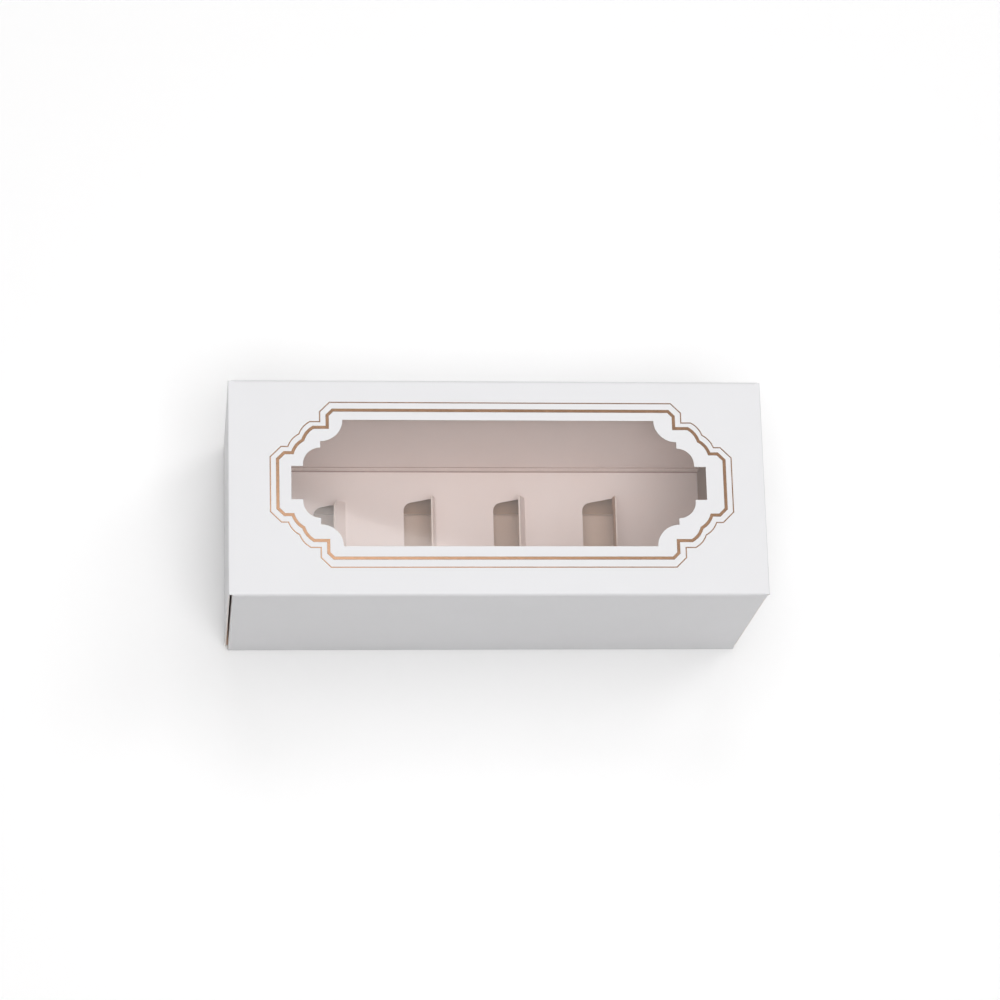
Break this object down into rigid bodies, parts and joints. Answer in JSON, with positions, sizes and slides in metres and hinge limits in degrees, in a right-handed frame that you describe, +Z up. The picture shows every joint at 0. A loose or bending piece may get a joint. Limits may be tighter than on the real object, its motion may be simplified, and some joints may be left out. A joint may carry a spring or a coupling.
{
  "type": "macaron box",
  "caption": "White tuck-end carton with a shaped clear window framed by gold foil lines, and a folded insert that holds macarons on edge.",
  "frame": {"origin": "centre of the bottom panel, on the surface the box stands on", "axes": "+Z up, +X along the box's length from the left closure to the right one, -Y towards the front panel"},
  "size_m": [0.18, 0.075, 0.075],
  "materials": {
    "coated_board": "matt coated",
    "insert_board": "uncoated",
    "clear_film": "clear polished film",
    "gold_foil": "hot-stamped foil"
  },
  "bodies": {
    "carton": {"sleeve": "coated_board", "insert": "insert_board", "window_film": "clear_film", "foil_outer_line": "gold_foil", "foil_inner_line": "gold_foil"},
    "left_end": {"left_closure": "coated_board"},
    "right_end": {"right_closure": "coated_board"}
  },
  "joints": [
    {"name": "left_end_crease", "type": "hinge", "parent": "carton", "child": "left_end", "pos_m": [-0.0895, 0, 0.0745], "axis": [0, 1, 0], "range_deg": [0, 135]},
    {"name": "right_end_crease", "type": "hinge", "parent": "carton", "child": "right_end", "pos_m": [0.0895, 0, 0.0745], "axis": [0, -1, 0], "range_deg": [0, 135]}
  ]
}
